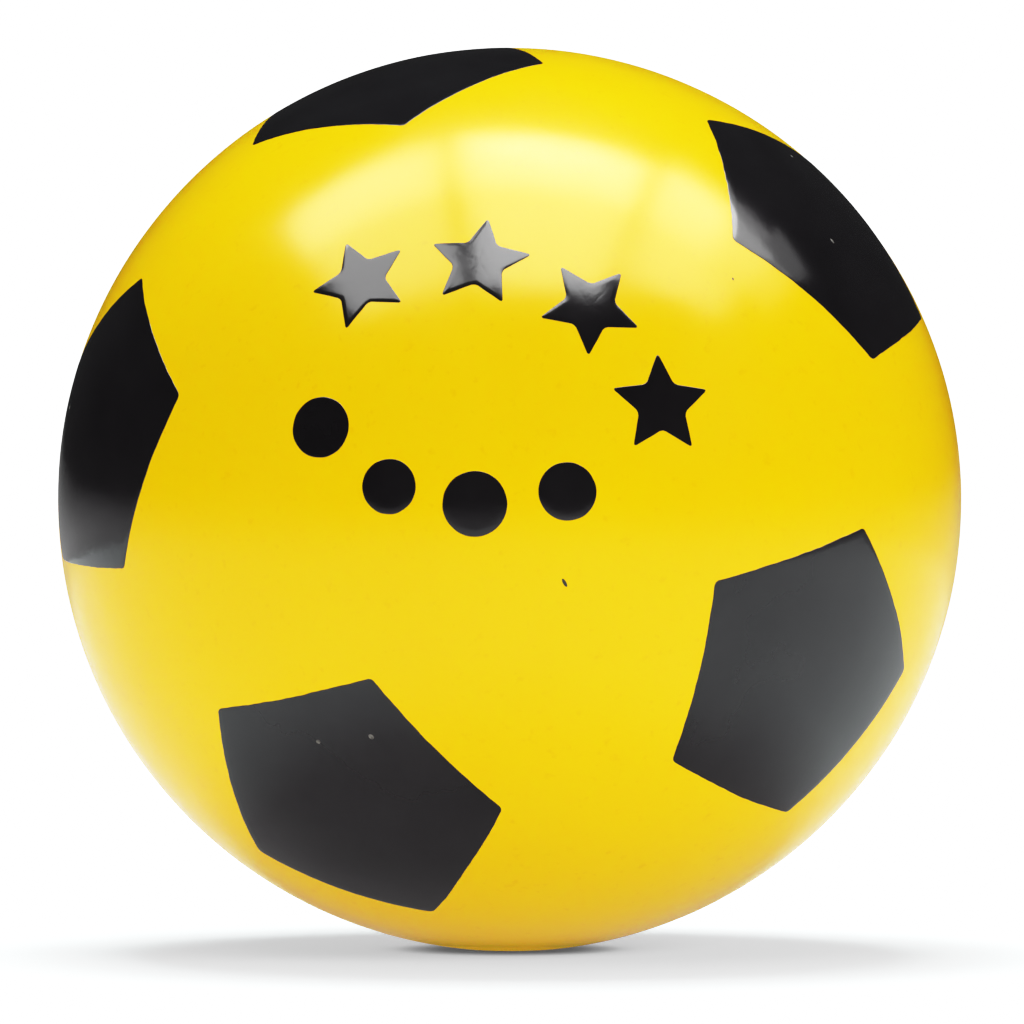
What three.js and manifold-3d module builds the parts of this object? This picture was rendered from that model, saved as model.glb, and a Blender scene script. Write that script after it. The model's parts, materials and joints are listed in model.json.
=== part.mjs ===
// An inflated soft-vinyl play ball with twelve print positions, like those of a football: a motif of
// stars and dots faces the viewer, and a black pentagon sits at each of the other eleven.
//
// Millimetres. +Z is up, the ball rests on z = 0 on a small flat that its own weight presses into it,
// and the motif faces -Y. The centre of that flat is the origin.
//
// Directions on the ball are unit vectors from its centre. An azimuth of 0 faces -Y and a positive one
// turns towards +X; an elevation is measured up from the horizontal.

import * as THREE from "three";
import { mergeVertices } from "three/addons/utils/BufferGeometryUtils.js";
import Module from "manifold-3d";

// ---- Driving dimensions: millimetres, and degrees where the name says so ----

const BALL_RADIUS = 70;
const WALL = 1.6;
const CONTACT_RADIUS = 6; // of the flat it rests on
const OUTER_DETAIL = 9; // subdivisions of an icosahedron's edge
const INNER_DETAIL = 6;

// Where the twelve print positions point.
const MOTIF_AZIMUTH_DEG = -5.1;
const MOTIF_ELEVATION_DEG = 18.1;
const PATTERN_TURN_DEG = 34.5; // of the first neighbour round the motif, from the viewer's right
const BACK_RING_DEG = 125; // from the motif to the back's five, none of which shows at the ball's foot

// A pentagon's corners, as angles at the ball's centre: the masks stretch towards the two poles.
const PENTAGON_ALONG_DEG = 22.3;
const PENTAGON_ACROSS_DEG = 20.5;

// The ink is a thin film. It is drawn thicker than the real 0.03 mm so that it is a sound solid.
const INK_GAP = 0.1;
const INK_THICKNESS = 0.2;
const CUTTER_SPAN = [0.9, 1.2]; // of the cones that cut the ink, as shares of the ball's radius

// The motif: stars on an arc above, dots on a smaller arc below.
const STAR_COUNT = 4;
const STAR_TIP = 8.1;
const STAR_NOTCH = 3.9;
const STAR_ARC = { azimuth: -8, elevation: 4.2, radius: 29, first: 115.5, step: -31.5 };
const DOT_COUNT = 4;
const DOT_RADIUS = 4;
const DOT_SIDES = 18;
const DOT_ARC = { azimuth: -4, elevation: 24.2, radius: 23.5, first: 212, step: 29 };

// The air valve: a soft plug pushed into a boss that is moulded on the inside of the wall.
const VALVE_POLAR_DEG = 142.6; // from the motif's centre
const VALVE_TURN_DEG = 106.5; // round it, from the viewer's right
const BOSS_RADIUS = 7.5;
const BOSS_DEPTH = 13; // below the outer surface
const BORE_RADIUS = 3.8;
const COUNTERBORE_RADIUS = 5.9;
const FLANGE_RADIUS = 5.5;
const FLANGE_THICKNESS = 1.3;
const FLANGE_SUNK = 0.3; // below the ball's outer surface
const STEM_RADIUS = 3.5;
const STEM_LENGTH = 14;
const STEM_CHAMFER = 0.8;
const FIT_GAP = 0.3; // round and under the plug
const NEEDLE_MOUTH_RADIUS = 1.3;
const NEEDLE_TIP_RADIUS = 0.4;
const NEEDLE_DEPTH = 4;
const VALVE_SIDES = 32;

const YELLOW = "#f6d800";
const BLACK = "#1d1b1c";
const IVORY = "#e6dfca";
const VINYL_ROUGHNESS = 0.2;
const INK_ROUGHNESS = 0.3;
const RUBBER_ROUGHNESS = 0.6;

// ---- Derived dimensions ----

const CENTRE_HEIGHT = Math.sqrt(BALL_RADIUS ** 2 - CONTACT_RADIUS ** 2);
const INK_INNER_RADIUS = BALL_RADIUS + INK_GAP;
const INK_OUTER_RADIUS = INK_INNER_RADIUS + INK_THICKNESS;
const NEIGHBOUR_DEG = THREE.MathUtils.radToDeg(Math.atan(2)); // between neighbouring print positions
const FLANGE_TOP = BALL_RADIUS - FLANGE_SUNK;
const COUNTERBORE_FLOOR = FLANGE_TOP - FLANGE_THICKNESS - FIT_GAP;

const rad = THREE.MathUtils.degToRad;

// ---- Directions on the ball ----

// A frame on the ball: `out` is a direction, `right` is level and `up` climbs.
function frameAt(azimuthDeg, elevationDeg) {
  const [a, e] = [rad(azimuthDeg), rad(elevationDeg)];
  const out = new THREE.Vector3(Math.sin(a) * Math.cos(e), -Math.cos(a) * Math.cos(e), Math.sin(e));
  const right = new THREE.Vector3(Math.cos(a), Math.sin(a), 0);
  return { out, right, up: out.clone().cross(right) };
}

// A frame at `out` whose `right` leans towards another direction.
function frameTowards(out, other) {
  const right = other.clone().addScaledVector(out, -other.dot(out)).normalize();
  return { out, right, up: out.clone().cross(right) };
}

// The direction `polar` radians away from a frame's `out`, at a turn from its `right` towards its `up`.
function around(frame, polar, turn) {
  return new THREE.Vector3()
    .addScaledVector(frame.out, Math.cos(polar))
    .addScaledVector(frame.right, Math.sin(polar) * Math.cos(turn))
    .addScaledVector(frame.up, Math.sin(polar) * Math.sin(turn));
}

const motif = frameAt(MOTIF_AZIMUTH_DEG, MOTIF_ELEVATION_DEG);
const motifBack = motif.out.clone().negate();
const firstNeighbour = around(motif, rad(NEIGHBOUR_DEG), rad(PATTERN_TURN_DEG));
const valve = around(motif, rad(VALVE_POLAR_DEG), rad(VALVE_TURN_DEG));

// Five directions at one distance from the motif.
function ringOfFive(polarDeg, firstTurnDeg) {
  return Array.from({ length: 5 }, (_, k) => around(motif, rad(polarDeg), rad(firstTurnDeg + k * 72)));
}

// The eleven pentagons: five round the motif, five on the back between those, and one opposite the motif.
function pentagonCentres() {
  const near = ringOfFive(NEIGHBOUR_DEG, PATTERN_TURN_DEG);
  const far = ringOfFive(BACK_RING_DEG, PATTERN_TURN_DEG + 180);
  return [...near, ...far, motifBack];
}

// ---- Solids ----

const wasm = await Module();
wasm.setup();

function toSolid(geometry) {
  const bare = geometry.clone().deleteAttribute("normal").deleteAttribute("uv");
  const merged = mergeVertices(bare);
  return new wasm.Manifold(
    new wasm.Mesh({
      numProp: 3,
      vertProperties: merged.getAttribute("position").array,
      triVerts: new Uint32Array(merged.index.array),
    }),
  );
}

function toGeometry(solid) {
  const { vertProperties, triVerts } = solid.getMesh();
  const geometry = new THREE.BufferGeometry();
  geometry.setAttribute("position", new THREE.BufferAttribute(vertProperties, 3));
  geometry.setIndex(new THREE.BufferAttribute(triVerts, 1));
  const faceted = geometry.toNonIndexed();
  faceted.computeVertexNormals();
  return faceted;
}

// Turns an icosahedron so that its corners lie at the print positions.
function patternRotation() {
  const corners = new THREE.IcosahedronGeometry(1, 0).getAttribute("position");
  const corner = (i) => new THREE.Vector3().fromBufferAttribute(corners, i).normalize();
  const basis = ({ right, up, out }) => new THREE.Matrix4().makeBasis(right, up, out);
  const from = basis(frameTowards(corner(0), corner(1)));
  const to = basis(frameTowards(motif.out, firstNeighbour));
  return to.multiply(from.transpose());
}

const patternMatrix = patternRotation();

// A ball of evenly spread facets, centred on the ball's centre.
function ballSolid(radius, detail) {
  const geometry = new THREE.IcosahedronGeometry(radius, detail);
  return toSolid(geometry.applyMatrix4(patternMatrix));
}

// Everything lower than `height` above the floor, as a block wider and deeper than the ball.
function spaceBelow(height) {
  const size = 3 * BALL_RADIUS;
  const box = new THREE.BoxGeometry(size, size, size);
  return toSolid(box.translate(0, 0, height - CENTRE_HEIGHT - size / 2));
}

// A solid of revolution whose axis is the valve's, from points of [radius, distance from the centre].
function turned(points) {
  const profile = points.map(([radius, distance]) => new THREE.Vector2(radius, distance));
  return new THREE.LatheGeometry(profile, VALVE_SIDES).rotateX(Math.PI / 2);
}

const valveTurn = new THREE.Quaternion().setFromUnitVectors(new THREE.Vector3(0, 0, 1), valve);

function alongValve(points) {
  return toSolid(turned(points).applyQuaternion(valveTurn));
}

function cylinderPoints(radius, low, high) {
  return [
    [0, low],
    [radius, low],
    [radius, high],
    [0, high],
  ];
}

// The hollow vinyl wall with the valve's boss inside, open through the valve's bore.
function shellSolid() {
  const outer = ballSolid(BALL_RADIUS, OUTER_DETAIL);
  const cavity = ballSolid(BALL_RADIUS - WALL, INNER_DETAIL);
  const bossLow = BALL_RADIUS - BOSS_DEPTH;
  const bossHigh = BALL_RADIUS - WALL / 2;
  const boss = alongValve(cylinderPoints(BOSS_RADIUS, bossLow, bossHigh));
  const bore = alongValve(cylinderPoints(BORE_RADIUS, bossLow - WALL, BALL_RADIUS));
  const seat = alongValve(cylinderPoints(COUNTERBORE_RADIUS, COUNTERBORE_FLOOR, BALL_RADIUS + WALL));
  return outer.subtract(cavity).add(boss).subtract(bore).subtract(seat).subtract(spaceBelow(0));
}

// The plug: a flange that seats in the wall, a stem in the bore, and a blind mouth for the needle.
function plugGeometry() {
  const flangeFloor = FLANGE_TOP - FLANGE_THICKNESS;
  const tip = FLANGE_TOP - STEM_LENGTH;
  return turned([
    [0, tip],
    [STEM_RADIUS - STEM_CHAMFER, tip],
    [STEM_RADIUS, tip + STEM_CHAMFER],
    [STEM_RADIUS, flangeFloor],
    [FLANGE_RADIUS, flangeFloor],
    [FLANGE_RADIUS, FLANGE_TOP],
    [NEEDLE_MOUTH_RADIUS, FLANGE_TOP],
    [NEEDLE_TIP_RADIUS, FLANGE_TOP - NEEDLE_DEPTH],
    [0, FLANGE_TOP - NEEDLE_DEPTH],
  ]);
}

// ---- The print ----

const inkLayer = ballSolid(INK_OUTER_RADIUS, OUTER_DETAIL)
  .subtract(ballSolid(INK_INNER_RADIUS, OUTER_DETAIL))
  .subtract(spaceBelow(INK_GAP));

// A cone from near the centre out through an outline, whose sides cut great circles on the ball.
function coneThrough(outline) {
  const count = outline.length;
  const middle = outline.reduce((sum, p) => sum.add(p), new THREE.Vector3()).normalize();
  const points = [];
  for (const share of CUTTER_SPAN) {
    points.push(...[...outline, middle].map((p) => p.clone().multiplyScalar(share * BALL_RADIUS)));
  }
  const top = count + 1; // the first point of the outer end
  const triangles = [];
  for (let k = 0; k < count; k++) {
    const next = (k + 1) % count;
    triangles.push(count, next, k);
    triangles.push(top + count, top + k, top + next);
    triangles.push(k, next, top + next);
    triangles.push(k, top + next, top + k);
  }
  return new wasm.Manifold(
    new wasm.Mesh({
      numProp: 3,
      vertProperties: new Float32Array(points.flatMap((p) => p.toArray())),
      triVerts: new Uint32Array(triangles),
    }),
  );
}

function inkFilm(outline) {
  return toGeometry(inkLayer.intersect(coneThrough(outline)));
}

// Points round a centre: `offset` gives each one's two angles, along and across the frame's `right`.
function outlineRound(frame, count, offset) {
  return Array.from({ length: count }, (_, k) => {
    const [along, across] = offset((k * 2 * Math.PI) / count, k);
    return around(frame, Math.hypot(along, across), Math.atan2(across, along));
  });
}

// A pentagon with one corner towards the nearer pole of the print.
function pentagonOutline(centre) {
  const pole = centre.dot(motif.out) > 0 ? motif.out : motifBack;
  const frame = centre === motifBack ? frameTowards(centre, firstNeighbour) : frameTowards(centre, pole);
  const along = rad(centre === motifBack ? PENTAGON_ACROSS_DEG : PENTAGON_ALONG_DEG);
  return outlineRound(frame, 5, (t) => [along * Math.cos(t), rad(PENTAGON_ACROSS_DEG) * Math.sin(t)]);
}

// A five-pointed star with one tip away from the middle of its arc.
function starOutline(centre, arcMiddle) {
  const frame = frameTowards(centre, arcMiddle.clone().negate());
  return outlineRound(frame, 10, (t, k) => {
    const radius = (k % 2 ? STAR_NOTCH : STAR_TIP) / BALL_RADIUS;
    return [radius * Math.cos(t), radius * Math.sin(t)];
  });
}

function dotOutline(centre, arcMiddle) {
  const radius = DOT_RADIUS / BALL_RADIUS;
  return outlineRound(frameTowards(centre, arcMiddle), DOT_SIDES, (t) => [
    radius * Math.cos(t),
    radius * Math.sin(t),
  ]);
}

// The outlines of `count` equal marks spread along an arc round the arc's middle.
function marksOnArc(arc, count, outlineOf) {
  const middle = frameAt(arc.azimuth, arc.elevation);
  return Array.from({ length: count }, (_, k) => {
    const centre = around(middle, rad(arc.radius), rad(arc.first + k * arc.step));
    return outlineOf(centre, middle.out);
  });
}

// ---- Assembly ----

function standard(color, roughness) {
  return new THREE.MeshStandardMaterial({ color, roughness, metalness: 0 });
}

const ball = new THREE.Group();
ball.position.z = CENTRE_HEIGHT;

function addPiece(name, geometry, material) {
  const mesh = new THREE.Mesh(geometry, material);
  mesh.name = name;
  ball.add(mesh);
  return mesh;
}

const numbered = (name, k) => `${name}_${String(k + 1).padStart(2, "0")}`;

addPiece("ball_shell", toGeometry(shellSolid()), standard(YELLOW, VINYL_ROUGHNESS));
addPiece("valve_plug", plugGeometry(), standard(IVORY, RUBBER_ROUGHNESS)).quaternion.copy(valveTurn);
pentagonCentres().forEach((centre, k) => {
  addPiece(numbered("black_pentagon", k), inkFilm(pentagonOutline(centre)), standard(BLACK, INK_ROUGHNESS));
});
marksOnArc(STAR_ARC, STAR_COUNT, starOutline).forEach((outline, k) => {
  addPiece(numbered("printed_star", k), inkFilm(outline), standard(BLACK, INK_ROUGHNESS));
});
marksOnArc(DOT_ARC, DOT_COUNT, dotOutline).forEach((outline, k) => {
  addPiece(numbered("printed_dot", k), inkFilm(outline), standard(BLACK, INK_ROUGHNESS));
});

const part = new THREE.Group();
part.add(ball);

export default part;
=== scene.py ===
"""A small glossy soft-vinyl play ball on a white studio floor, in Blender 4.5.

Metres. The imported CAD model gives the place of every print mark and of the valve. The ball is centred
over the origin, rests on z = 0 and shows its motif to -Y, where the camera is.
"""

import json
import math

import bmesh
import bpy
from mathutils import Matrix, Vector, noise


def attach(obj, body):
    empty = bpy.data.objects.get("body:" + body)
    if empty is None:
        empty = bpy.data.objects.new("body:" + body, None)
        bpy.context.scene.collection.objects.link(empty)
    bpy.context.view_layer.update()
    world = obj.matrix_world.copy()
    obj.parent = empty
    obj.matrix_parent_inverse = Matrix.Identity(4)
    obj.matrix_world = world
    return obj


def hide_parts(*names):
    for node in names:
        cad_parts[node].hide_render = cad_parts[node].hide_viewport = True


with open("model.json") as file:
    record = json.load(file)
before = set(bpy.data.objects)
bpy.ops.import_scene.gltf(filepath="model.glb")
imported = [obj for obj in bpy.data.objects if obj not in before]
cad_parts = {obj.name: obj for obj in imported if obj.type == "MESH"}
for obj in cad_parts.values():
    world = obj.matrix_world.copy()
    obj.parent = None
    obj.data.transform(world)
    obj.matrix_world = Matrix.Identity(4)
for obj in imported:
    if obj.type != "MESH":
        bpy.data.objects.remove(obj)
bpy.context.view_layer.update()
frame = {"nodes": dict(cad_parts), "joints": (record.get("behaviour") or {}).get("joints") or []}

MM = 0.001
TAU = 2 * math.pi

# ---- Sizes: the CAD model's, with a closer fit at the valve ----

BALL_RADIUS = 70 * MM
WALL = 1.6 * MM
CONTACT_RADIUS = 6 * MM  # of the flat it rests on
CENTRE = Vector((0, 0, math.sqrt(BALL_RADIUS**2 - CONTACT_RADIUS**2)))

FLANGE_RADIUS = 5.6 * MM
FLANGE_SUNK = 0.3 * MM
FLANGE_THICKNESS = 1.3 * MM
STEM_RADIUS = 3.6 * MM
STEM_LENGTH = 14 * MM
BOSS_RADIUS = 7.5 * MM
BOSS_DEPTH = 13 * MM
BORE_RADIUS = 3.7 * MM
SEAT_RADIUS = 5.85 * MM
SEAT_GAP = 0.1 * MM  # under the flange
SEAT_FLOOR = BALL_RADIUS - FLANGE_SUNK - FLANGE_THICKNESS - SEAT_GAP

VALVE_AXIS = Vector(frame["joints"][0]["axis"]).normalized()


# ---- Mesh helpers ----

def new_object(name, bm, material):
    """Makes an object from bm and puts it in the scene."""
    mesh = bpy.data.meshes.new(name)
    bm.to_mesh(mesh)
    bm.free()
    mesh.materials.append(material)
    made = bpy.data.objects.new(name, mesh)
    bpy.context.scene.collection.objects.link(made)
    return made


def new_piece(name, bm, material, body, replaces=()):
    """Makes a smooth piece from bm, rides it on a CAD body and hides the CAD nodes it stands for."""
    bmesh.ops.recalc_face_normals(bm, faces=bm.faces)
    piece = new_object(name, bm, material)
    piece.data.shade_smooth()
    piece.visible_diffuse = False
    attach(piece, body)
    if replaces:
        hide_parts(*replaces)
    return piece


def axis_basis(axis):
    """Two unit vectors square to axis and to each other."""
    across = axis.orthogonal().normalized()
    return across, axis.cross(across)


def skin_rings(bm, rings, count):
    """Faces between each ring of count vertices and the next, where a pole is a ring of one vertex."""
    for a, b in zip(rings, rings[1:]):
        for k in range(count):
            n = (k + 1) % count
            corners = [a[k % len(a)], a[n % len(a)], b[n % len(b)], b[k % len(b)]]
            bm.faces.new(list(dict.fromkeys(corners)))


def revolve(points, axis, segments):
    """A closed bmesh from (radius, height) points turned round axis through the ball's centre."""
    bm = bmesh.new()
    u, v = axis_basis(axis)
    rings = []
    for radius, height in points:
        middle = CENTRE + axis * height
        if radius == 0:
            rings.append([bm.verts.new(middle)])
            continue
        turns = (k * TAU / segments for k in range(segments))
        rings.append([bm.verts.new(middle + (u * math.cos(t) + v * math.sin(t)) * radius) for t in turns])
    skin_rings(bm, rings, segments)
    return bm


def arc_points(centre, radius, start, stop, steps):
    """Points on a round stretch of a profile, in degrees from its radius axis towards its height axis."""
    angles = (math.radians(start + (stop - start) * k / steps) for k in range(steps + 1))
    return [(centre[0] + radius * math.cos(a), centre[1] + radius * math.sin(a)) for a in angles]


def even_points(a, b, steps):
    """Points between a and b, both left out."""
    return [tuple(p + (q - p) * k / steps for p, q in zip(a, b)) for k in range(1, steps)]


# ---- The vinyl body ----

SPHERE_STEPS = 190
INNER_STEPS = 60
BODY_SEGMENTS = 320
ROUND_STEPS = 6  # along a small rounding
MOUTH_FILLET = 0.5 * MM
BORE_CHAMFER = 0.3 * MM
BOSS_ROUND = 1 * MM  # at its inner end
BOSS_FILLET = 1.5 * MM  # where it meets the wall
EDGE_LOOP = 0.1 * MM  # a close loop of points that keeps a shaded edge crisp
UNDULATION = 0.05 * MM  # of the skin, in or out
UNDULATION_LENGTH = 26 * MM
RIPPLE_SHARE = 0.4  # of the undulation's depth, for a quicker wave on top of it
RIPPLE_RATE = 2.7  # of its waves to each of the undulation's


def sphere_profile(radius, low_deg, high_deg, steps):
    """Profile points from one angle to another, measured from the axis."""
    angles = (math.radians(low_deg + (high_deg - low_deg) * k / steps) for k in range(steps + 1))
    return [(radius * math.sin(a), radius * math.cos(a)) for a in angles]


def body_profile():
    """The outside from the far pole to the valve's seat, down the bore, up the boss and back inside."""
    lip = SEAT_RADIUS + MOUTH_FILLET
    lip_deg = math.degrees(math.asin(lip / BALL_RADIUS))
    lip_height = BALL_RADIUS * math.cos(math.radians(lip_deg))
    boss_end = BALL_RADIUS - BOSS_DEPTH
    inner = BALL_RADIUS - WALL
    root_deg = math.degrees(math.asin((BOSS_RADIUS + BOSS_FILLET) / inner))
    fillet_height = inner * math.cos(math.radians(root_deg)) - BOSS_FILLET
    points = sphere_profile(BALL_RADIUS, 180, lip_deg, SPHERE_STEPS)
    points[0] = (0, -BALL_RADIUS)
    seat_top = (SEAT_RADIUS, lip_height - MOUTH_FILLET)
    seat_foot = (SEAT_RADIUS, SEAT_FLOOR)
    points += arc_points((lip, lip_height - MOUTH_FILLET), MOUTH_FILLET, 90, 180, ROUND_STEPS)[1:]
    points += even_points(seat_top, seat_foot, 3)
    points += [seat_foot, (SEAT_RADIUS - EDGE_LOOP, SEAT_FLOOR), (BORE_RADIUS + BORE_CHAMFER, SEAT_FLOOR)]
    bore_top = (BORE_RADIUS, SEAT_FLOOR - BORE_CHAMFER)
    bore_foot = (BORE_RADIUS, boss_end)
    points += [bore_top]
    points += even_points(bore_top, bore_foot, 8)
    points += [bore_foot, (BORE_RADIUS + 2 * EDGE_LOOP, boss_end)]
    side_foot = (BOSS_RADIUS, boss_end + BOSS_ROUND)
    side_top = (BOSS_RADIUS, fillet_height)
    points += arc_points((BOSS_RADIUS - BOSS_ROUND, boss_end + BOSS_ROUND), BOSS_ROUND, -90, 0, ROUND_STEPS)
    points += even_points(side_foot, side_top, 6)
    points += arc_points((BOSS_RADIUS + BOSS_FILLET, fillet_height), BOSS_FILLET, 180, 90, ROUND_STEPS)
    points += sphere_profile(inner, root_deg, 180, INNER_STEPS)[1:]
    points[-1] = (0, -inner)
    return points


def undulate(point):
    """Moves a point in or out along its radius by the slow waviness of a soft moulded skin."""
    out = point - CENTRE
    slow = noise.noise(out / UNDULATION_LENGTH)
    quick = noise.noise(out * RIPPLE_RATE / UNDULATION_LENGTH + Vector((7, 3, 1)))
    return point + out.normalized() * ((slow + RIPPLE_SHARE * quick) * UNDULATION)


def settle(point, floor=0.0):
    """Keeps a point of the skin on the floor, where the ball's weight flattens it."""
    return Vector((point.x, point.y, max(point.z, floor)))


def make_body(material):
    bm = revolve(body_profile(), VALVE_AXIS, BODY_SEGMENTS)
    for vertex in bm.verts:
        vertex.co = settle(undulate(vertex.co))
    new_piece("vinyl_body", bm, material, "ball", ["ball_shell"])


# ---- The valve plug ----

PLUG_SEGMENTS = 96
PLUG_SHARP_ANGLE = math.radians(50)
FLANGE_ROUND = 0.35 * MM
TIP_ROUND = 0.8 * MM
RELIEF = 0.12 * MM  # depth of the groove and height of the ring on the plug's face
GROOVE_RADII = (4.3 * MM, 4.1 * MM, 3.7 * MM, 3.5 * MM)  # outer edge, foot, foot, inner edge
RING_RADII = (2.4 * MM, 2.2 * MM, 1.6 * MM)  # outer foot, outer edge, inner edge
MOUTH_RADIUS = 1.3 * MM
MOUTH_ROUND = 0.32 * MM
MOUTH_SUNK = 0.2 * MM
NEEDLE_HOLE = [(0.45 * MM, 2.6 * MM), (0.4 * MM, 4 * MM), (0, 4.2 * MM)]  # radius and depth


def plug_profile():
    """From the stem's tip up its side, round the flange and over its face into the needle's hole."""
    top = BALL_RADIUS - FLANGE_SUNK
    under = top - FLANGE_THICKNESS
    tip = top - STEM_LENGTH
    round_middle = FLANGE_RADIUS - FLANGE_ROUND
    points = [(0, tip), (STEM_RADIUS - 1.5 * TIP_ROUND, tip)]
    points += arc_points((STEM_RADIUS - TIP_ROUND, tip + TIP_ROUND), TIP_ROUND, -90, 0, ROUND_STEPS)
    points += even_points((STEM_RADIUS, tip + TIP_ROUND), (STEM_RADIUS, under), 8)
    points += [(STEM_RADIUS, under), (STEM_RADIUS + 2 * EDGE_LOOP, under)]
    points += arc_points((round_middle, under + FLANGE_ROUND), FLANGE_ROUND, -90, 0, 5)
    points += arc_points((round_middle, top - FLANGE_ROUND), FLANGE_ROUND, 0, 90, ROUND_STEPS)
    points += zip(GROOVE_RADII, (top, top - RELIEF, top - RELIEF, top))
    points += zip(RING_RADII, (top, top + RELIEF, top + RELIEF))
    points += arc_points((MOUTH_RADIUS, top - MOUTH_SUNK), MOUTH_ROUND, 75, 180, 5)
    points += [(radius, top - depth) for radius, depth in NEEDLE_HOLE]
    return points


def make_plug(material):
    bm = revolve(plug_profile(), VALVE_AXIS, PLUG_SEGMENTS)
    plug = new_piece("air_valve_plug", bm, material, "valve", ["valve_plug"])
    plug.data.set_sharp_from_angle(angle=PLUG_SHARP_ANGLE)


# ---- Ink ----

# Steps along an ink edge, and from a film's middle to its edge.
EDGE_STEP = 0.55 * MM
FILM_RING_STEP = 1.2 * MM
CORNER_ROUND = 0.7 * MM
STAR_CORNER_ROUND = 0.5 * CORNER_ROUND
FILM_BEVEL = 0.12 * MM
BEVEL_PROFILE = [(0.35, 0.75), (0, 0.1)]  # share of the bevel's width still to go, share of the thickness
DOT_STEPS = 64
BLOB_STEPS = 16
CORNERS_APART = 0.7  # at least, as a share of the distance from the middle to a corner
STAR_NOTCH_SHARE = 0.48  # of the distance from a star's middle to its tips
INK_THICKNESS = 0.04 * MM
INK_ROOT = 0.02 * MM  # how far the film reaches into the vinyl
WOBBLE_FINE = 0.10 * MM
WOBBLE_FINE_LENGTH = 1.5 * MM
WOBBLE_SLOW = 0.16 * MM
WOBBLE_SLOW_LENGTH = 9 * MM


def node_directions(node):
    """Unit vectors from the ball's centre to the vertices of a CAD node."""
    return [(v.co - CENTRE).normalized() for v in frame["nodes"][node].data.vertices]


def mean_direction(directions):
    """The unit vector in the middle of the directions."""
    return sum(directions, Vector()).normalized()


def corner_directions(node, count):
    """The node's corners, in order round it: its furthest points from its middle, and well apart."""
    directions = node_directions(node)
    middle = mean_direction(directions)
    directions.sort(key=lambda d: d.dot(middle))
    apart = CORNERS_APART * directions[0].angle(middle)
    corners = []
    for d in directions:
        if len(corners) < count and all(d.angle(c) > apart for c in corners):
            corners.append(d)
    return in_order(corners)


def in_order(directions):
    """The directions sorted anticlockwise round their middle, seen from outside."""
    middle = mean_direction(directions)
    u, v = axis_basis(middle)
    return sorted(directions, key=lambda d: math.atan2(d.dot(v), d.dot(u)))


def great_arc(a, b, share):
    """The direction part of the way along the great circle from a to b."""
    angle = a.angle(b)
    if angle < 1e-9:
        return a.copy()
    return (a * math.sin((1 - share) * angle) + b * math.sin(share * angle)) / math.sin(angle)


def polygon_edge(corners):
    """Closely spaced directions along the great circles that join the corners."""
    edge = []
    for a, b in zip(corners, corners[1:] + corners[:1]):
        steps = max(3, round(a.angle(b) * BALL_RADIUS / EDGE_STEP))
        edge += [great_arc(a, b, k / steps) for k in range(steps)]
    return edge


def rounded(edge, width):
    """The edge with its corners rounded by averaging over a width."""
    step = edge[0].angle(edge[1]) * BALL_RADIUS
    reach = max(1, round(width / step))
    count = len(edge)
    return [mean_direction([edge[(k + j) % count] for j in range(-reach, reach + 1)]) for k in range(count)]


def wobbled(edge, share=1.0):
    """The edge moved a little in and out, as a sprayed mask's edge is."""
    middle = mean_direction(edge)
    moved = []
    for d in edge:
        p = d * BALL_RADIUS
        fine = noise.noise(p / WOBBLE_FINE_LENGTH) * WOBBLE_FINE
        slow = noise.noise(p / WOBBLE_SLOW_LENGTH + Vector((5, 9, 2))) * WOBBLE_SLOW
        away = (d - middle * d.dot(middle)).normalized()
        moved.append((d + away * ((fine + slow) * share / BALL_RADIUS)).normalized())
    return moved


def ink_film(name, edge, material, replaces=(), thickness=INK_THICKNESS):
    """A thin closed film over the ball inside an edge, with a soft bevel down to the vinyl."""
    middle = mean_direction(edge)
    reach = sum(d.angle(middle) for d in edge) / len(edge) * BALL_RADIUS
    rings = max(3, round(reach / FILM_RING_STEP))
    bevel = min(FILM_BEVEL, 0.2 * reach)
    shares = [k / rings * (1 - bevel / reach) for k in range(1, rings + 1)]
    layers = [(share, thickness) for share in shares]
    layers += [(1 - to_go * bevel / reach, share * thickness) for to_go, share in BEVEL_PROFILE]
    under = [(share, -INK_ROOT) for share in [1] + shares[::-3]]
    bm = bmesh.new()

    def place(direction, height):
        skin = undulate(CENTRE + direction * BALL_RADIUS)
        # Over the flat at the foot, the film's face would lie below the skin and its root above.
        floor = -height if height > 0 else INK_ROOT / 2
        return settle(skin + direction * height, floor)

    def ring(share, height):
        return [bm.verts.new(place(great_arc(middle, d, share), height)) for d in edge]

    stack = [[bm.verts.new(place(middle, thickness))]]
    stack += [ring(share, height) for share, height in layers + under]
    stack += [[bm.verts.new(place(middle, -INK_ROOT))]]
    skin_rings(bm, stack, len(edge))
    new_piece(name, bm, material, "ball", replaces)


def star_corners(node):
    """A star's tips, with a notch between each two neighbours."""
    tips = corner_directions(node, 5)
    middle = mean_direction(tips)
    corners = []
    for a, b in zip(tips, tips[1:] + tips[:1]):
        between = mean_direction([a, b])
        notch_reach = STAR_NOTCH_SHARE * a.angle(middle)
        corners += [a, great_arc(middle, between, notch_reach / between.angle(middle))]
    return corners


def dot_edge(node):
    """A circle of directions as wide as the node."""
    directions = node_directions(node)
    middle = mean_direction(directions)
    reach = max(d.angle(middle) for d in directions)
    return circle_edge(middle, reach, DOT_STEPS)


def circle_edge(middle, reach, count):
    """count directions at an angle of reach from the middle."""
    u, v = axis_basis(middle)
    turns = (k * TAU / count for k in range(count))
    return [middle * math.cos(reach) + (u * math.cos(t) + v * math.sin(t)) * math.sin(reach) for t in turns]


def direction_at(azimuth, elevation):
    """A direction by its angles in degrees: azimuth 0 is the motif's side and 90 the camera's right."""
    a = math.radians(azimuth)
    e = math.radians(elevation)
    return Vector((math.sin(a) * math.cos(e), -math.cos(a) * math.cos(e), math.sin(e)))


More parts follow.
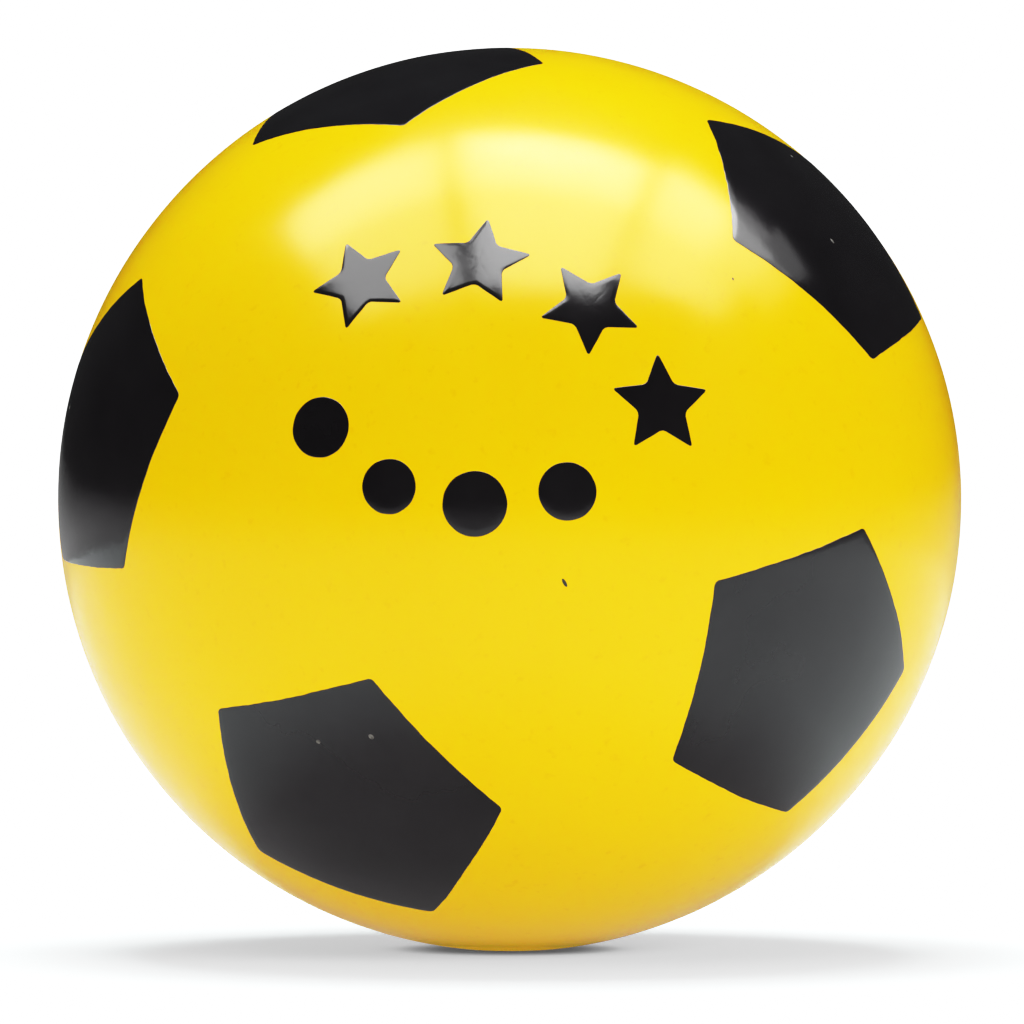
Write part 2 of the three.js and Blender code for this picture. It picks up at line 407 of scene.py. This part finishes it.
def blob_edge(middle, length, width, turn_deg):
    """A small oval, turned anticlockwise from upright as the camera sees it."""
    across = Vector((0, 0, 1)).cross(middle).normalized()
    up = middle.cross(across)
    turn = math.radians(turn_deg)
    long_way = up * math.cos(turn) - across * math.sin(turn)
    short_way = up * math.sin(turn) + across * math.cos(turn)
    edge = []
    for k in range(BLOB_STEPS):
        t = k * TAU / BLOB_STEPS
        offset = long_way * (length / 2 * math.cos(t)) + short_way * (width / 2 * math.sin(t))
        edge.append((middle + offset / BALL_RADIUS).normalized())
    return edge


# Dust that dried in the ink, and specks of stray ink: azimuth and elevation in degrees, length and width in
# millimetres, and turn in degrees.
DUST = [
    (-28.7, -30.0, 0.8, 0.8, 0), (-20.1, -29.1, 1.0, 0.8, 40), (74.0, 49.7, 0.6, 0.5, 0),
    (60.2, 35.5, 1.0, 0.6, 20), (-83.0, 12.0, 0.6, 0.5, 0), (150.0, 22.0, 0.7, 0.6, 10),
]
SPECKS = [
    (6.9, -8.4, 1.5, 0.55, 30), (34.2, 30.3, 0.6, 0.4, 0), (196.0, 14.0, 1.1, 0.5, 60),
    (118.0, -6.0, 0.6, 0.5, 0),
]
DUST_THICKNESS = 0.06 * MM
BLEMISH_WOBBLE = 0.5  # of a pentagon's
MARK_WOBBLE = 0.6  # of a pentagon's, for the stars and dots


def blemish_edge(azimuth, elevation, length, width, turn_deg):
    blob = blob_edge(direction_at(azimuth, elevation), length * MM, width * MM, turn_deg)
    return wobbled(blob, BLEMISH_WOBBLE)


def make_blemishes(ink, dust):
    for k, blemish in enumerate(DUST):
        ink_film(f"dust_in_ink_{k + 1}", blemish_edge(*blemish), dust, (), DUST_THICKNESS)
    for k, blemish in enumerate(SPECKS):
        ink_film(f"ink_speck_{k + 1}", blemish_edge(*blemish), ink)


def make_print(material):
    for node in sorted(frame["nodes"]):
        if node.startswith("black_pentagon"):
            edge = wobbled(rounded(polygon_edge(corner_directions(node, 5)), CORNER_ROUND))
        elif node.startswith("printed_star"):
            edge = wobbled(rounded(polygon_edge(star_corners(node)), STAR_CORNER_ROUND), MARK_WOBBLE)
        elif node.startswith("printed_dot"):
            edge = wobbled(dot_edge(node), MARK_WOBBLE)
        else:
            continue
        ink_film("ink_" + node, edge, material, [node])


# ---- Materials ----

class Nodes:
    """The node tree of a material or a world, and short ways to add nodes to it."""

    def __init__(self, owner):
        owner.use_nodes = True
        self.owner = owner
        self.tree = owner.node_tree

    def add(self, kind, inputs=None, **properties):
        """A new node with its inputs set, by socket name or number, and its properties."""
        node = self.tree.nodes.new(kind)
        for key, value in properties.items():
            setattr(node, key, value)
        for key, value in (inputs or {}).items():
            self.put(node, key, value)
        return node

    def put(self, node, key, value):
        """Links a socket to a node's input, or sets the input to a plain value."""
        if isinstance(value, bpy.types.NodeSocket):
            self.tree.links.new(value, node.inputs[key])
        else:
            node.inputs[key].default_value = value

    def noise(self, scale, detail=2.0, roughness=0.5, seed=0.0):
        """Noise over the object's own coordinates, where scale is in waves per metre."""
        coords = self.add("ShaderNodeTexCoord").outputs["Object"]
        moved = self.add("ShaderNodeMapping", {"Vector": coords, "Location": (seed, seed * 1.7, seed * 0.6)})
        return self.add("ShaderNodeTexNoise", {
            "Vector": moved.outputs["Vector"], "Scale": scale, "Detail": detail, "Roughness": roughness,
        }).outputs["Fac"]

    def span(self, value, low, high, start=0.3, stop=0.7):
        """value's range start to stop, spread over low to high."""
        return self.add("ShaderNodeMapRange", {
            "Value": value, "From Min": start, "From Max": stop, "To Min": low, "To Max": high,
        }).outputs["Result"]

    def blend(self, factor, a, b):
        """Colour a where factor is 0 and colour b where it is 1."""
        mix = self.add("ShaderNodeMix", {0: factor, 6: a, 7: b}, data_type="RGBA")
        return mix.outputs[2]

    def bump(self, height, distance, strength, normal=None):
        inputs = {"Height": height, "Distance": distance, "Strength": strength}
        if normal is not None:
            inputs["Normal"] = normal
        return self.add("ShaderNodeBump", inputs).outputs["Normal"]

    def set(self, **sockets):
        """Sets or links the shader's own sockets."""
        for key, value in sockets.items():
            self.put(self.tree.nodes["Principled BSDF"], key.replace("_", " "), value)

    def show(self, surface):
        """Makes a socket the material's surface, in place of the shader's."""
        self.put(self.tree.nodes["Material Output"], "Surface", surface)


def new_material(name):
    return Nodes(bpy.data.materials.new(name))


def colour(r, g, b):
    return (r, g, b, 1.0)


def vinyl_material():
    """Yellow, faintly clouded and flecked, with a fine peel over a slower ripple."""
    n = new_material("glossy_yellow_vinyl")
    cloud = n.span(n.noise(22, detail=3), 0, 1, 0.35, 0.65)
    fleck = n.span(n.noise(520, roughness=0.6, seed=3.1), 0, 1, 0.62, 0.8)
    base = n.blend(cloud, colour(0.945, 0.57, 0.0), colour(0.965, 0.59, 0.0))
    n.set(Base_Color=n.blend(fleck, base, colour(0.9, 0.525, 0.0)))
    n.set(Roughness=n.span(n.noise(70, detail=4, roughness=0.6, seed=1.4), 0.17, 0.23))
    peel = n.bump(n.noise(900, seed=5.0), 0.02 * MM, 0.35)
    n.set(Normal=n.bump(n.noise(160, seed=8.0), 0.05 * MM, 0.35, peel))
    n.set(Specular_Tint=colour(1.0, 0.98, 0.7), IOR=1.5)
    n.set(Subsurface_Weight=0.25, Subsurface_Radius=(1.0, 0.35, 0.08), Subsurface_Scale=2 * MM)
    return n.owner


def ink_material():
    """Near-black and glossier than the vinyl, with a peel of its own."""
    n = new_material("glossy_black_ink")
    cloud = n.span(n.noise(60, detail=3, roughness=0.55, seed=2.0), 0, 1)
    n.set(Base_Color=n.blend(cloud, colour(0.02, 0.018, 0.02), colour(0.027, 0.025, 0.027)))
    n.set(Roughness=n.span(n.noise(120, detail=4, roughness=0.6, seed=6.0), 0.1, 0.15))
    peel = n.bump(n.noise(1100, seed=4.0), 0.02 * MM, 0.3)
    n.set(Normal=n.bump(n.noise(150, seed=8.5), 0.05 * MM, 0.4, peel))
    n.set(IOR=1.62)
    return n.owner


def dust_material():
    """Grey dust half sunk in the ink."""
    n = new_material("dusty_ink")
    patch = n.span(n.noise(2500, roughness=0.6, seed=2.0), 0, 1)
    n.set(Base_Color=n.blend(patch, colour(0.08, 0.076, 0.07), colour(0.22, 0.21, 0.19)))
    n.set(Roughness=n.span(n.noise(3000, roughness=0.6, seed=6.0), 0.35, 0.6))
    n.set(Normal=n.bump(n.noise(4000, seed=4.0), 0.02 * MM, 0.5))
    return n.owner


def valve_material():
    """Matt ivory that lets a little light in."""
    n = new_material("soft_ivory_rubber")
    cloud = n.span(n.noise(300, detail=3, roughness=0.55, seed=2.0), 0, 1)
    n.set(Base_Color=n.blend(cloud, colour(0.47, 0.42, 0.31), colour(0.54, 0.49, 0.37)))
    n.set(Roughness=n.span(n.noise(900, detail=3, roughness=0.6, seed=6.0), 0.42, 0.58))
    n.set(Normal=n.bump(n.noise(2500, seed=4.0), 0.02 * MM, 0.4))
    n.set(Subsurface_Weight=0.2, Subsurface_Radius=(1.0, 0.8, 0.5), Subsurface_Scale=1 * MM)
    return n.owner


# ---- Studio ----

LIGHT_LEVEL = 0.625  # of all radiances below, so that the brightest parts fit the film curve
FLOOR_RADIUS = 0.6
FLOOR_SEGMENTS = 96
FLOOR_GAP = 0.02 * MM  # between the floor and the ball's flat
# The floor's albedo as it lights the ball, as glossy surfaces mirror it, and as the camera sees it.
FLOOR_ALBEDO = 0.68
FLOOR_MIRRORED = 0.74
FLOOR_IN_PICTURE = 1.2
TENT = 0.79  # radiance of the white tent on matt surfaces
BEYOND_FLOOR = 0.55  # radiance that glossy surfaces mirror below the horizon
HORIZON_SOFTNESS = 0.07  # how far below the horizon the dim room blends into that
ROOM = 0.05  # radiance of the dim room that glossy surfaces mirror
# What the floor sees of the ball: height above the floor, and radiance.
SHADE_LIGHT = [(1.6 * MM, 0.09), (3.0 * MM, 0.44), (30 * MM, 0.16)]

WHITE = (1, 1, 1)
# Square lights that only matt surfaces see: place, target, side, radiance and tint.
MATT_LIGHTS = [
    ("overhead_key", (-0.04, 0.37, 1.2), CENTRE, 0.6, 10.7, (0.87, 1, 1)),
    ("side_fill", (1.2, -1.0, 0.8), CENTRE, 0.8, 2.9, WHITE),
    ("high_fill", (-0.4, -0.9, 1.3), CENTRE, 0.8, 0.6, WHITE),
    ("floor_glow", (0, 0, 0.1 * MM), (0, 0, 1), 0.6, 0.52, (1, 0.9, 0.85)),
]
# Softbox panels overhead, which only glossy surfaces see.
SOFTBOX_HEIGHT = 0.9  # above the ball's centre
# Each panel's left, right, front and back edges as shares of that height, and its radiance.
SOFTBOX_PANELS = [
    (-0.82, -0.21, -0.10, 0.27, 8.5), (-0.82, -0.21, -0.66, -0.12, 5.0),
    (-0.15, 0.43, -0.10, 0.28, 11.0), (-0.15, 0.43, -0.68, -0.12, 7.3),
    (0.48, 0.80, -0.12, 0.32, 9.0), (0.48, 0.80, -0.50, -0.14, 6.2),
    (0.80, 1.10, -0.12, 0.32, 4.0), (0.80, 1.08, -0.46, -0.14, 5.2),
    (0.48, 1.00, 0.32, 0.46, 1.7), (1.00, 1.35, 0.32, 0.60, 1.0), (1.10, 1.35, -0.10, 0.32, 1.8),
]


def floor_material():
    """Matt white, and brighter in the picture than it is as a light on the ball or in its reflections."""
    n = new_material("white_floor")
    ray = n.add("ShaderNodeLightPath").outputs
    albedo = n.span(ray["Is Glossy Ray"], FLOOR_ALBEDO, FLOOR_MIRRORED, 0, 1)
    albedo = n.span(ray["Is Camera Ray"], albedo, FLOOR_IN_PICTURE, 0, 1)
    matt = n.add("ShaderNodeBsdfDiffuse", {"Color": albedo})
    n.show(matt.outputs["BSDF"])
    return n.owner


def make_floor():
    bm = bmesh.new()
    bmesh.ops.create_circle(bm, cap_ends=True, segments=FLOOR_SEGMENTS, radius=FLOOR_RADIUS)
    floor = new_object("floor", bm, floor_material())
    floor.location.z = -FLOOR_GAP


def shade_material():
    """Stands in for the ball where the floor looks for light, so that yellow doesn't tint the floor."""
    n = new_material("shade_grey")
    position = n.add("ShaderNodeNewGeometry").outputs["Position"]
    height = n.add("ShaderNodeSeparateXYZ", {"Vector": position}).outputs["Z"]
    (low, first), (middle, second), (high, third) = SHADE_LIGHT
    rising = n.span(height, first, second, low, middle)
    falling = n.span(height, second, third, middle, high)
    strength = n.add("ShaderNodeMath", {0: rising, 1: falling}, operation="MINIMUM").outputs["Value"]
    strength = n.add("ShaderNodeMath", {0: strength, 1: LIGHT_LEVEL}, operation="MULTIPLY").outputs["Value"]
    glow = n.add("ShaderNodeEmission", {"Strength": strength})
    n.show(glow.outputs["Emission"])
    n.owner.cycles.emission_sampling = "NONE"
    return n.owner


def make_shade():
    bm = bmesh.new()
    bmesh.ops.create_icosphere(bm, subdivisions=5, radius=BALL_RADIUS - WALL / 2)
    shade = new_object("shade", bm, shade_material())
    shade.location = CENTRE
    shade.visible_camera = False
    shade.visible_glossy = False
    shade.visible_transmission = False
    shade.visible_shadow = False


def area_light(name, surfaces, place, target, size, radiance, tint=WHITE):
    """A rectangular soft light of the given radiance, for matt or for glossy surfaces only."""
    width, depth = size
    data = bpy.data.lights.new(name, "AREA")
    data.shape = "RECTANGLE"
    data.size = width
    data.size_y = depth
    data.energy = LIGHT_LEVEL * radiance * math.pi * width * depth
    data.color = tint
    light = bpy.data.objects.new(name, data)
    light.location = place
    light.rotation_mode = "QUATERNION"
    light.rotation_quaternion = (Vector(target) - Vector(place)).to_track_quat("-Z", "Y")
    light.visible_camera = False
    light.visible_diffuse = surfaces == "matt"
    light.visible_glossy = surfaces == "glossy"
    bpy.context.scene.collection.objects.link(light)


def make_lights():
    height = SOFTBOX_HEIGHT
    for k, (left, right, front, back, radiance) in enumerate(SOFTBOX_PANELS):
        place = Vector(((left + right) / 2 * height, (front + back) / 2 * height, CENTRE.z + height))
        size = ((right - left) * height, (back - front) * height)
        area_light(f"softbox_{k + 1}", "glossy", place, place - Vector((0, 0, 1)), size, radiance)
    for name, place, target, side, radiance, tint in MATT_LIGHTS:
        area_light(name, "matt", place, target, (side, side), radiance, tint)


def make_world():
    """White to the camera and a bright tent to matt surfaces. Glossy ones mirror a dim room over white."""
    world = bpy.data.worlds.new("studio")
    world.cycles.sampling_method = "NONE"
    n = Nodes(world)
    ray = n.add("ShaderNodeLightPath").outputs
    direction = n.add("ShaderNodeTexCoord").outputs["Generated"]
    height = n.add("ShaderNodeSeparateXYZ", {"Vector": direction}).outputs["Z"]
    mirrored = n.span(height, BEYOND_FLOOR * LIGHT_LEVEL, ROOM * LIGHT_LEVEL, -HORIZON_SOFTNESS, 0)
    by_surface = n.span(ray["Is Glossy Ray"], TENT * LIGHT_LEVEL, mirrored, 0, 1)
    strength = n.span(ray["Is Camera Ray"], by_surface, 1, 0, 1)
    background = n.tree.nodes["Background"]
    n.put(background, "Color", colour(1, 1, 1))
    n.put(background, "Strength", strength)
    bpy.context.scene.world = world


# Scene light against picture light: deep blacks, and bright colours that level off, as on film.
FILM_CURVE = [
    (0, 0), (0.0125, 0.005), (0.025, 0.014), (0.05, 0.045), (0.125, 0.165), (0.25, 0.365), (0.375, 0.61),
    (0.5, 0.765), (0.625, 0.875), (0.75, 0.935), (0.94, 1.0), (1.0, 1.0),
]


def set_film():
    view = bpy.context.scene.view_settings
    view.view_transform = "Standard"
    view.look = "None"
    view.use_curve_mapping = True
    mapping = view.curve_mapping
    mapping.extend = "HORIZONTAL"
    points = mapping.curves[3].points
    points[0].location = FILM_CURVE[0]
    points[1].location = FILM_CURVE[-1]
    for place in FILM_CURVE[1:-1]:
        points.new(*place)
    mapping.update()


# ---- Camera ----

CAMERA_ELEVATION = math.radians(2)
CAMERA_DISTANCE = 40 * BALL_RADIUS
NEAREST = 0.1
FURTHEST = 200
FILM = 36.0  # millimetres
BALL_SHARE = 0.8824  # of the frame's width that the ball takes up
BALL_OFFSET = Vector((-0.0023, 0.0121))  # of the ball's centre from the frame's, in frame widths


def make_camera():
    data = bpy.data.cameras.new("camera")
    data.sensor_width = FILM
    spread = math.sqrt(CAMERA_DISTANCE**2 - BALL_RADIUS**2) / BALL_RADIUS
    data.lens = BALL_SHARE / 2 * spread * FILM
    data.clip_start = NEAREST
    data.clip_end = FURTHEST
    camera = bpy.data.objects.new("camera", data)
    back = Vector((0, -math.cos(CAMERA_ELEVATION), math.sin(CAMERA_ELEVATION)))
    turn = (-back).to_track_quat("-Z", "Y")
    width = CAMERA_DISTANCE * FILM / data.lens  # of the frame, at the ball
    slide = turn @ Vector((-BALL_OFFSET.x * width, -BALL_OFFSET.y * width, 0))
    camera.location = CENTRE + back * CAMERA_DISTANCE + slide
    camera.rotation_mode = "QUATERNION"
    camera.rotation_quaternion = turn
    bpy.context.scene.collection.objects.link(camera)
    bpy.context.scene.camera = camera


# ---- Assembly ----

ink = ink_material()
vinyl = vinyl_material()
make_body(vinyl)
make_plug(valve_material())
make_print(ink)
make_blemishes(ink, dust_material())
make_floor()
make_shade()
make_lights()
make_world()
make_camera()
set_film()
